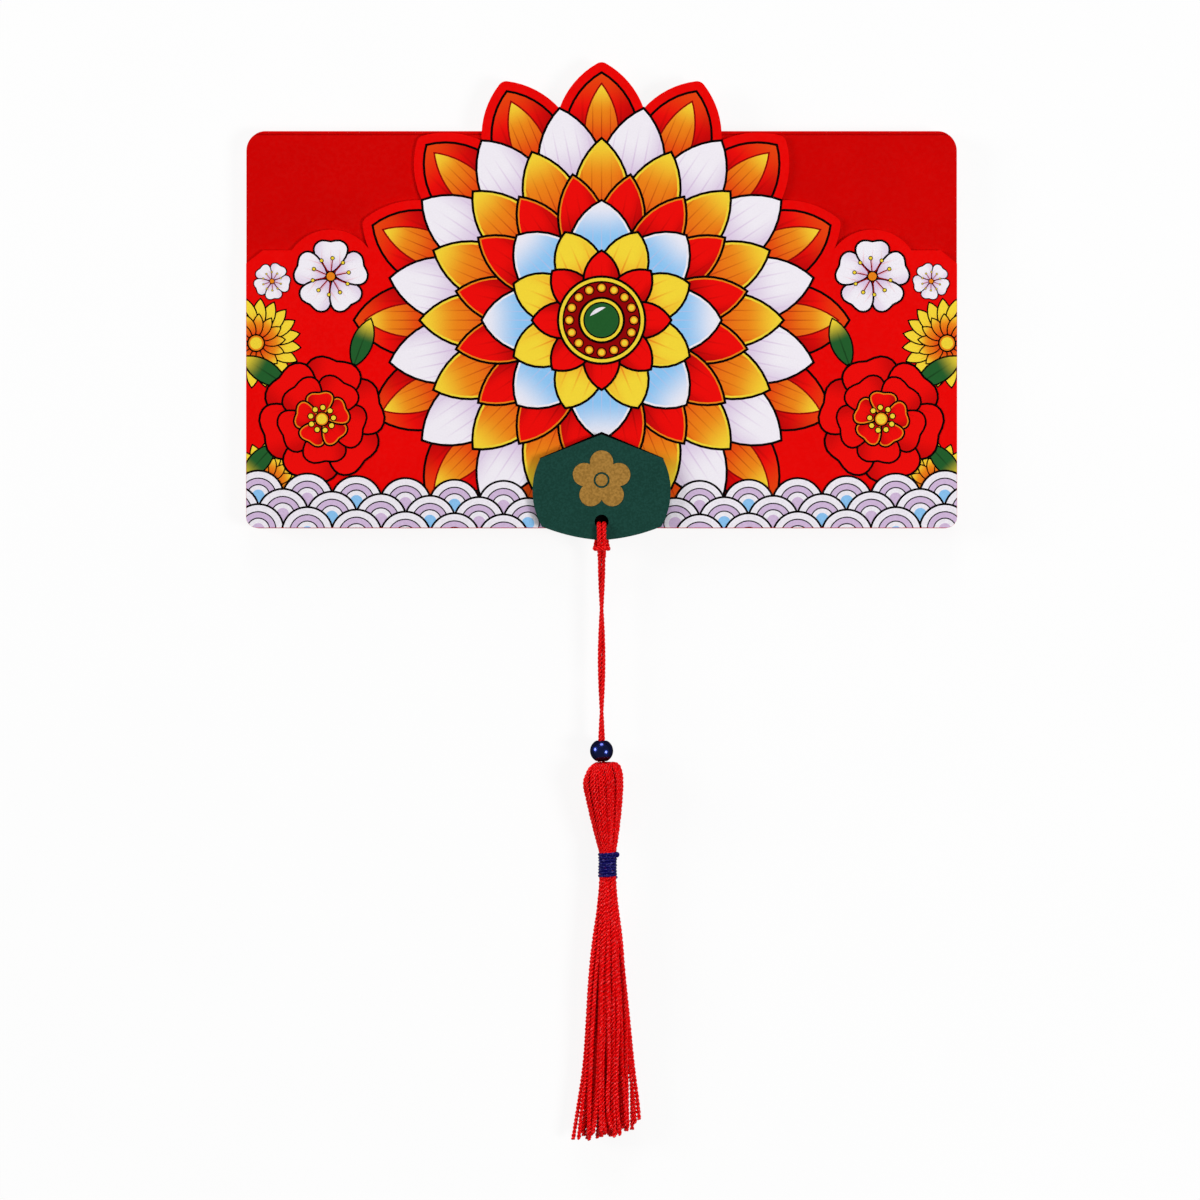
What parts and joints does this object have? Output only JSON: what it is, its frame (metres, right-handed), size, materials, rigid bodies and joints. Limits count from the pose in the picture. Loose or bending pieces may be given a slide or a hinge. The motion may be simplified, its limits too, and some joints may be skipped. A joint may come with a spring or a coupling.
{
  "type": "folding red envelope",
  "caption": "Folding red envelope: hinged card leaves with note slits, a die-cut flower-crested pocket front, a foil-stamped pull tag and a beaded tassel on a cord.",
  "frame": {"origin": "middle of the back leaf's rear face, which rests on a table", "axes": "+X across the card to its right, +Y up the card towards its crest, +Z out of its front"},
  "size_m": [0.178, 0.2693, 0.0103],
  "materials": {
    "dark_red_card": "satin coated card",
    "bright_red_card": "satin printed card",
    "foam": "white adhesive foam",
    "green_card": "felt-marked card",
    "gold_foil": "hot-stamped foil",
    "red_cord": "twisted cord",
    "navy_bead": "gloss",
    "red_yarn": "lustrous thread",
    "navy_thread": "lustrous thread"
  },
  "bodies": {
    "back": {"back_leaf": "dark_red_card"},
    "leaf_1": {"slot_leaf_1": "dark_red_card"},
    "leaf_2": {"slot_leaf_2": "dark_red_card"},
    "leaf_3": {"slot_leaf_3": "dark_red_card"},
    "leaf_4": {"slot_leaf_4": "dark_red_card"},
    "leaf_5": {"slot_leaf_5": "dark_red_card"},
    "cover": {"cover_leaf": "dark_red_card", "left_glue_flap": "dark_red_card", "right_glue_flap": "dark_red_card", "bottom_glue_flap": "dark_red_card", "crest_front": "bright_red_card", "tag_pad": "foam", "pull_tag": "green_card", "foil_emblem": "gold_foil"},
    "hitch": {"cord_hitch": "red_cord"},
    "cord": {"tassel_cord": "red_cord"},
    "bead": {"bead": "navy_bead"},
    "tassel": {"tassel_head": "red_yarn", "tassel_binding": "navy_thread", "tassel_skirt": "red_yarn"}
  },
  "joints": [
    {"name": "fold_1", "type": "hinge", "parent": "back", "child": "leaf_1", "pos_m": [0, -0.04925, 0.0005], "axis": [1, 0, 0], "range_deg": [0, 176]},
    {"name": "fold_2", "type": "hinge", "parent": "leaf_1", "child": "leaf_2", "pos_m": [0, 0.04925, 0.00115], "axis": [-1, 0, 0], "range_deg": [0, 176]},
    {"name": "fold_3", "type": "hinge", "parent": "leaf_2", "child": "leaf_3", "pos_m": [0, -0.04925, 0.0018], "axis": [1, 0, 0], "range_deg": [0, 176]},
    {"name": "fold_4", "type": "hinge", "parent": "leaf_3", "child": "leaf_4", "pos_m": [0, 0.04925, 0.00245], "axis": [-1, 0, 0], "range_deg": [0, 176]},
    {"name": "fold_5", "type": "hinge", "parent": "leaf_4", "child": "leaf_5", "pos_m": [0, -0.04925, 0.0031], "axis": [1, 0, 0], "range_deg": [0, 176]},
    {"name": "fold_6", "type": "hinge", "parent": "leaf_5", "child": "cover", "pos_m": [0, 0.04925, 0.00375], "axis": [-1, 0, 0], "range_deg": [0, 176]},
    {"name": "hitch_swing", "type": "hinge", "parent": "cover", "child": "hitch", "pos_m": [0, -0.0482, 0.0065], "axis": [0, 0, 1], "range_deg": [-25, 25]},
    {"name": "cord_lift", "type": "hinge", "parent": "hitch", "child": "cord", "pos_m": [0, -0.05705, 0.0053], "axis": [-1, 0, 0], "range_deg": [0, 90]},
    {"name": "bead_slide", "type": "slide", "parent": "cord", "child": "bead", "axis": [0, 1, 0], "range_m": [0, 0.04]},
    {"name": "tassel_sway", "type": "hinge", "parent": "cord", "child": "tassel", "pos_m": [0, -0.10555, 0.0053], "axis": [0, 0, 1], "range_deg": [-30, 30]}
  ],
  "couplings": [
    {"joint": "fold_2", "follows": "fold_1", "ratio": 1},
    {"joint": "fold_3", "follows": "fold_1", "ratio": 1},
    {"joint": "fold_4", "follows": "fold_1", "ratio": 1},
    {"joint": "fold_5", "follows": "fold_1", "ratio": 1},
    {"joint": "fold_6", "follows": "fold_1", "ratio": 1}
  ]
}
